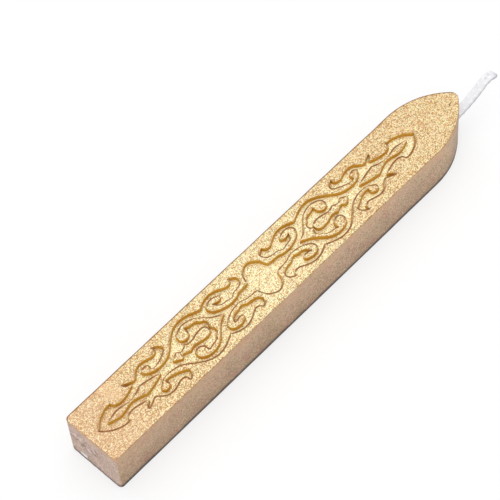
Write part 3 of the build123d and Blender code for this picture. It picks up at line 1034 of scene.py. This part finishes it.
def bar_surface(size):
    """The bar as one closed surface: points, faces, shading normals and where wall and side lie.

    The side is a section carried round the plan. Each scroll wall is the lip section carried
    along its line, drawn in where the line's own bend or a facing wall leaves less room. The
    face, the islands, the scrolls' floor and the base are flat fills between them.
    """
    plan, outward = bar_plan(size)
    inset, height, edge_lines, satin = rim_section(size)
    relief = side_relief(size, plan, outward, height)
    rim = np.empty((len(plan), len(height), 3))
    rim[..., :2] = plan[:, None] - outward[:, None] * (inset[None] - relief)[..., None]
    rim[..., 2] = height

    lines = ornament_lines(size)
    walls = np.concatenate([points for points, _ in lines])
    offset, drop, dark, clear = lip_section(size)

    blocks = [rim.reshape(-1, 3)]
    faces = [grid_faces(0, len(plan), len(height), False)]
    first = len(blocks[0])
    rim_index = np.arange(len(plan)) * len(height)
    lip_loops = []
    foot_loops = []
    lip_shades = []
    for points, normals in lines:
        # Painted shade line along each lip, strongest on lips facing LINE_WAY
        strong = smooth_step(normals @ LINE_WAY, -0.5, 0.5)
        lip_shades.append(np.outer(FAINT_LINE + (1 - FAINT_LINE) * strong, dark).ravel())
        floor_room = np.minimum(1, ROOM_SHARE * room_beside(points, normals, walls) / offset[-1])
        face_room = np.minimum(1, ROOM_SHARE * room_beside(points, -normals, walls) / -offset[0])
        reach = np.where(offset > 0, offset * floor_room[:, None], offset * face_room[:, None])
        wall = np.empty((len(points), len(offset), 3))
        wall[..., :2] = points[:, None] + normals[:, None] * reach[..., None]
        wall[..., 2] = size["height"] - drop
        blocks.append(wall.reshape(-1, 3))
        faces.append(grid_faces(first, len(points), len(offset), True))
        lip_loops.append(first + np.arange(len(points)) * len(offset))
        foot_loops.append(lip_loops[-1] + len(offset) - 1)
        first += wall.shape[0] * wall.shape[1]
    wall_last = first
    surface = np.concatenate(blocks)
    bent = vertex_normals(surface, faces)

    fills = [([rim_index, lip_loops[0]], 1), (foot_loops, 1), ([rim_index + len(height) - 1], -1)]
    fills += [([loop], 1) for loop in lip_loops[1:]]
    parts = [surface]
    normals = [bent]
    for loops, way in fills:
        lattice, triangles = flat_fill([surface[loop, :2] for loop in loops])
        level = surface[loops[0][0], 2]
        numbers = np.concatenate([*loops, first + np.arange(len(lattice))])
        faces.append(numbers[triangles] if way > 0 else numbers[triangles][:, ::-1])
        parts.append(np.column_stack([lattice, np.full(len(lattice), level)]))
        normals.append(np.tile((0.0, 0.0, way), (len(lattice), 1)))
        bent[np.concatenate(loops)] = (0, 0, way)
        first += len(lattice)

    points = np.concatenate(parts)
    rim_count = rim.shape[0] * rim.shape[1]
    wall_rows = (wall_last - rim_count) // len(drop)
    left = smooth_step(outward[:, 1], 0.0, 0.5)[:, None]
    butt = smooth_step(-outward[:, 0], 0.5, 1.0)[:, None]
    # Painted shade along the face's edge: darkest on the far edge, fainter on the near one and at the
    # butt
    near_edge_shade = (1 - left) * (NEAR_EDGE_LINE - BUTT_EDGE_LESS * butt)
    edge_shade = FAR_EDGE_LINE * left * edge_lines[0] + near_edge_shade * edge_lines[1]
    masks = {key: np.zeros(len(points)) for key in ("side", "lip", "wall", "sunk")}
    masks["side"][:rim_count] = np.tile(satin, len(plan))
    masks["lip"][:rim_count] = edge_shade.ravel()
    masks["lip"][rim_count:wall_last] = np.concatenate(lip_shades)
    masks["wall"][rim_count:wall_last] = np.tile(clear, wall_rows)
    nearly_down = size["height"] - 0.98 * size["ornament_depth"]
    masks["sunk"][rim_count:] = points[rim_count:, 2] < nearly_down
    masks["sunk"][points[:, 2] < size["height"] / 2] = 0
    return points, faces, np.concatenate(normals), masks


def wick_plane(settings):
    """The wick's upright plane: the nose tip, the unit ways along, across and up, and its run.

    The run is the level distance from the butt face to the nose tip, in millimetres.
    """
    nose = np.array([BAR_HIGH[0] / MM, 0, 0])
    butt = np.array([BAR_LOW[0] / MM, settings.butt_offset / MM, 0])
    run = np.linalg.norm(nose - butt)
    along = (nose - butt) / run
    return nose, along, np.array([-along[1], along[0], 0]), np.array([0, 0, 1.0]), run


def wick_space(settings, flat, sideways):
    """Points of the wick's plane, moved sideways out of it, in the stick's own directions."""
    nose, along, across, upward, _ = wick_plane(settings)
    return nose + flat[..., :1] * along + flat[..., 1:] * upward + sideways[..., None] * across


def wick_route(settings):
    """The wick's points in its plane: distance from the nose tip and height, in millimetres."""
    start = (-wick_plane(settings)[-1], settings.butt_height / MM)
    return np.array([start, *WICK_HELD_POINTS, *WICK_FREE_POINTS])


def wick_line(route, tail, gap):
    """The wick's middle line at even gaps, with a straight tail, its unit normals and its length.

    Between the middles of its legs the route is a quadratic curve steered by the point there.
    """
    route = np.vstack([route[:-1], route[-1] + unit(route[-1] - route[-2]) * tail])
    middles = (route[1:-2] + route[2:-1]) / 2
    start = np.vstack([route[:1], middles])[:, None]
    end = np.vstack([middles, route[-1:]])[:, None]
    steer = route[1:-1][:, None]
    share = np.linspace(0, 1, WICK_LEG_STEPS, endpoint=False)[None, :, None]
    curve = (1 - share) ** 2 * start + 2 * share * (1 - share) * steer + share**2 * end
    curve = np.vstack([curve.reshape(-1, 2), route[-1:]])
    run = run_lengths(curve)
    even = at_places(curve, run, np.linspace(0, run[-1], int(run[-1] / gap) + 1))
    return even, left_of(unit(np.gradient(even, axis=0))), run[-1]


def plait(settings, travel, strand):
    """A strand's place across and through the wick: sines of the plait angle and of its double."""
    sway = (settings.half_width - settings.strand_radius - settings.coat) / MM
    lift = (settings.half_thickness - settings.strand_radius - settings.coat) / MM
    angle = TAU * travel / (settings.plait_pitch / MM) + TAU * strand / STRANDS
    return sway * np.sin(angle), lift * np.sin(2 * angle)


def tube(rings):
    """Points and faces of a closed tube from rings of points, each end filled to its middle.

    What reaches past the butt face is pressed flat on it.
    """
    count, around = rings.shape[:2]
    rings = np.maximum(rings, (BAR_LOW[0] / MM, -np.inf, -np.inf))
    points = np.concatenate([rings.reshape(-1, 3), rings[:1].mean(axis=1), rings[-1:].mean(axis=1)])
    here = np.arange(around)
    there = np.roll(here, -1)
    row = np.arange(count - 1)[:, None] * around
    quads = np.stack([row + around + here, row + around + there, row + there, row + here], axis=2)
    last = (count - 1) * around
    start_fan = np.stack([np.full(around, count * around), here, there], axis=1)
    end_fan = np.stack([np.full(around, count * around + 1), last + there, last + here], axis=1)
    return points, [quads.reshape(-1, 4), start_fan, end_fan]


def coat_reach(settings, travel, run, aim):
    """How far the coat stands out from the wick's middle, its relief over a plain core, and gaps.

    A tenth-power mean of a flat rounded core and of a round of wax on each strand, kept inside
    the wick's own section, dimpled at the gaps, a little uneven and rounded at the cut end.
    """
    half_width = settings.half_width / MM
    half_thickness = settings.half_thickness / MM
    round_wax = (settings.strand_radius + settings.coat) / MM
    broad, thin = np.abs(aim.T)
    core = (broad / (CORE_SHARE[0] * half_width)) ** 4 + (thin / (CORE_SHARE[1] * half_thickness)) ** 4
    core = core**-0.25
    total = np.repeat(core[None], len(travel), axis=0) ** SHARPNESS
    for strand in range(STRANDS):
        sway, lift = plait(settings, travel, strand)
        toward = sway[:, None] * aim[:, 0] + lift[:, None] * aim[:, 1]
        square = round_wax**2 - (sway**2 + lift**2)[:, None] + toward**2
        total = total + np.maximum(toward + np.sqrt(np.maximum(square, 0)), 0) ** SHARPNESS
    box = 1 / np.maximum(broad / half_width, thin / half_thickness)
    reach = np.minimum(total ** (1 / SHARPNESS), box)
    relief = reach / core - 1
    gaps = np.zeros_like(reach)
    for before_end, sideways in WICK_GAPS:
        ahead = (run - before_end - travel)[:, None] / WICK_GAP_SIZE
        beside = (reach * aim[:, 0] - sideways) / WICK_GAP_SIZE
        gaps += np.exp(-(ahead**2 + beside**2)) * (aim[:, 1] > 0)
    angle = np.linspace(0, TAU, len(aim), endpoint=False)
    bumps = unevenness(travel[:, None] + 0 * angle, 0 * travel[:, None] + angle, 1.5, 2)
    near_end = 1 - np.clip((run - travel) / END_ROUND, 0, 1)
    end_round = np.sqrt(np.clip(1 - near_end**2, 0.6, 1))[:, None]
    reach = reach * (1 - WICK_GAP_DEPTH * gaps) * (0.985 + 0.01 * bumps) * end_round
    return reach, relief, gaps


class WAX_STICK_OT_cast_bar(bpy.types.Operator):
    """Cast the wax bar with its pointed nose and its sunk scroll ornament"""

    bl_idname = "wax_stick.cast_bar"
    bl_label = "Cast bar"

    def execute(self, context):
        settings = context.scene.wax_stick_bar
        size = millimetre_sizes(settings)
        points, faces, normals, masks = bar_surface(size)
        bar = put_piece("cast_wax_bar", points, faces, pearl_wax(settings), normals, **masks)
        fit_to_frame(bar, "gold_wax", "wax_bar")
        return {"FINISHED"}


class WAX_STICK_OT_prime_wick(bpy.types.Operator):
    """Coat the wick in white priming wax that follows the plait under it"""

    bl_idname = "wax_stick.prime_wick"
    bl_label = "Prime wick"

    def execute(self, context):
        settings = context.scene.wax_stick_wick
        line, normal, run = wick_line(wick_route(settings), 0.0, COAT_GAP)
        travel = np.linspace(0, run, len(line))
        angle = np.linspace(0, TAU, COAT_SIDES, endpoint=False)
        aim = np.stack([np.cos(angle), np.sin(angle)], axis=1)
        reach, relief, gaps = coat_reach(settings, travel, run, aim)
        flat = line[:, None] + normal[:, None] * (reach * aim[:, 1])[..., None]
        points, faces = tube(wick_space(settings, flat, reach * aim[:, 0]))
        relief = np.append(relief / max(relief.max(), 1e-6), [0.3, 0.3])
        # Painted shade towards the cut end on one side, added to the flat edges and the gaps
        end_shade = smooth_step(travel, run - 1.0, run - 0.2)[:, None]
        end_shade = end_shade * smooth_step(-aim[:, 0], -0.3, 0.8)
        edge = np.maximum(smooth_step(np.abs(aim[:, 0]), 0.93, 1.0), end_shade) + gaps
        edge = np.append(np.minimum(edge, 1), [0, 0.5])
        material = primer_wax(settings)
        coat = put_piece("primed_wick_coat", points, faces, material, relief=relief, edge=edge)
        fit_to_frame(coat, "primer_wax", "wick_primer_coat")
        return {"FINISHED"}


class WAX_STICK_OT_plait_strands(bpy.types.Operator):
    """Plait the three cotton strands that show at the wick's cut ends"""

    bl_idname = "wax_stick.plait_strands"
    bl_label = "Plait strands"

    def execute(self, context):
        settings = context.scene.wax_stick_wick
        _, along, _, upward, _ = wick_plane(settings)
        material = cotton_yarn(settings)
        line, normal, run = wick_line(wick_route(settings), settings.tail / MM, STRAND_GAP)
        travel = np.linspace(0, run, len(line))
        angle = np.linspace(0, TAU, STRAND_SIDES, endpoint=False)
        ply = np.cos(PLIES * (angle[None] - TAU * travel[:, None] / PLY_PITCH))
        fray = 1 - FRAY_SHARE * smooth_step(travel, run - FRAY_REACH, run)
        radius = settings.strand_radius / MM * fray[:, None] * (0.94 + 0.06 * ply)
        shade = np.append(0.5 + 0.5 * ply, [0.3, 0.3])
        for strand in range(STRANDS):
            sway, lift = plait(settings, travel, strand)
            middle = wick_space(settings, line + normal * lift[:, None], sway)
            way = unit(np.gradient(middle, axis=0))
            lift_way = normal[:, :1] * along + normal[:, 1:] * upward
            lift_way = unit(lift_way - (lift_way * way).sum(axis=1)[:, None] * way)
            side_way = np.cross(way, lift_way)
            spokes = np.cos(angle)[:, None] * side_way[:, None]
            spokes = spokes + np.sin(angle)[:, None] * lift_way[:, None]
            points, faces = tube(middle[:, None] + radius[..., None] * spokes)
            yarn = put_piece(f"cotton_strand_{strand + 1}", points, faces, material, ply=shade)
            fit_to_frame(yarn, "cotton", f"wick_strand_{strand + 1}")
        return {"FINISHED"}


class WAX_STICK_OT_set_stage(bpy.types.Operator):
    """Lay the pale floor, hang the soft lamps and place the camera"""

    bl_idname = "wax_stick.set_stage"
    bl_label = "Set stage"

    def execute(self, context):
        settings = context.scene.wax_stick_stage
        scene = context.scene
        scene.view_settings.view_transform = "Standard"
        self.lay_floor(settings)
        self.light_sky(scene, settings)
        self.hang_lamp("overhead_panel", settings.key, *OVERHEAD_PANEL)
        self.hang_lamp("front_panel", settings.fill, *FRONT_PANEL)
        self.place_camera(scene, settings)
        return {"FINISHED"}

    @staticmethod
    def lay_floor(settings):
        reach = settings.floor_reach
        signs = [(-1, -1), (1, -1), (1, 1), (-1, 1)]
        corners = [(reach * along, reach * across, -FLOOR_GAP) for along, across in signs]
        mesh = bpy.data.meshes.new("pale_floor")
        mesh.from_pydata(corners, [], [(0, 1, 2, 3)])
        mesh.materials.append(pale_floor(settings))
        floor = add_object("pale_floor", mesh)

    @staticmethod
    def light_sky(scene, settings):
        world = bpy.data.worlds.new("studio_light")
        world.use_nodes = True
        sky = world.node_tree.nodes["Background"]
        sky.inputs["Color"].default_value = (1, 1, 1, 1)
        sky.inputs["Strength"].default_value = settings.sky
        scene.world = world

    @staticmethod
    def hang_lamp(name, power, side, place):
        lamp = bpy.data.lights.new(name, "AREA")
        lamp.energy = power
        lamp.size = side
        lamp_object = add_object(name, lamp)
        lamp_object.location = place
        lamp_object.rotation_euler = Vector(place).to_track_quat("Z", "Y").to_euler()

    @staticmethod
    def place_camera(scene, settings):
        """Stand the camera back from its target, level its sides and then roll it."""
        flat = math.cos(settings.elevation)
        back = Vector((math.sin(settings.azimuth) * flat, -math.cos(settings.azimuth) * flat,
                       math.sin(settings.elevation)))
        level = Vector((0, 0, 1)).cross(back).normalized()
        rise = back.cross(level)
        right = math.cos(settings.roll) * level + math.sin(settings.roll) * rise
        up = back.cross(right)
        place = Vector(settings.target) + back * settings.distance
        turn = Matrix((right, up, back)).transposed().to_4x4()
        camera = bpy.data.cameras.new("camera")
        camera.lens = settings.lens
        camera.sensor_width = SENSOR_WIDTH
        camera.clip_start = 0.01
        camera_object = add_object("camera", camera)
        camera_object.matrix_world = Matrix.Translation(place) @ turn
        scene.camera = camera_object


class WAX_STICK_PT_panel(bpy.types.Panel):
    """Buttons and settings of the wax stick"""

    bl_idname = "WAX_STICK_PT_panel"
    bl_label = "Sealing wax stick"
    bl_space_type = "VIEW_3D"
    bl_region_type = "UI"
    bl_category = "Wax stick"

    def draw(self, context):
        groups = (
            (context.scene.wax_stick_stage, ("wax_stick.set_stage",)),
            (context.scene.wax_stick_bar, ("wax_stick.cast_bar",)),
            (context.scene.wax_stick_wick, ("wax_stick.prime_wick", "wax_stick.plait_strands")),
        )
        for settings, operators in groups:
            box = self.layout.box()
            for operator in operators:
                box.operator(operator)
            for key in settings.__annotations__:
                box.prop(settings, key)


CLASSES = (
    WaxBarSettings,
    WickSettings,
    StageSettings,
    WAX_STICK_OT_cast_bar,
    WAX_STICK_OT_prime_wick,
    WAX_STICK_OT_plait_strands,
    WAX_STICK_OT_set_stage,
    WAX_STICK_PT_panel,
)


def register():
    for cls in CLASSES:
        bpy.utils.register_class(cls)
    bpy.types.Scene.wax_stick_bar = PointerProperty(type=WaxBarSettings)
    bpy.types.Scene.wax_stick_wick = PointerProperty(type=WickSettings)
    bpy.types.Scene.wax_stick_stage = PointerProperty(type=StageSettings)


def unregister():
    del bpy.types.Scene.wax_stick_stage
    del bpy.types.Scene.wax_stick_wick
    del bpy.types.Scene.wax_stick_bar
    for cls in reversed(CLASSES):
        bpy.utils.unregister_class(cls)


def main():
    register()
    bpy.ops.wax_stick.set_stage()
    bpy.ops.wax_stick.cast_bar()
    bpy.ops.wax_stick.prime_wick()
    bpy.ops.wax_stick.plait_strands()


if __name__ == "__main__":
    main()
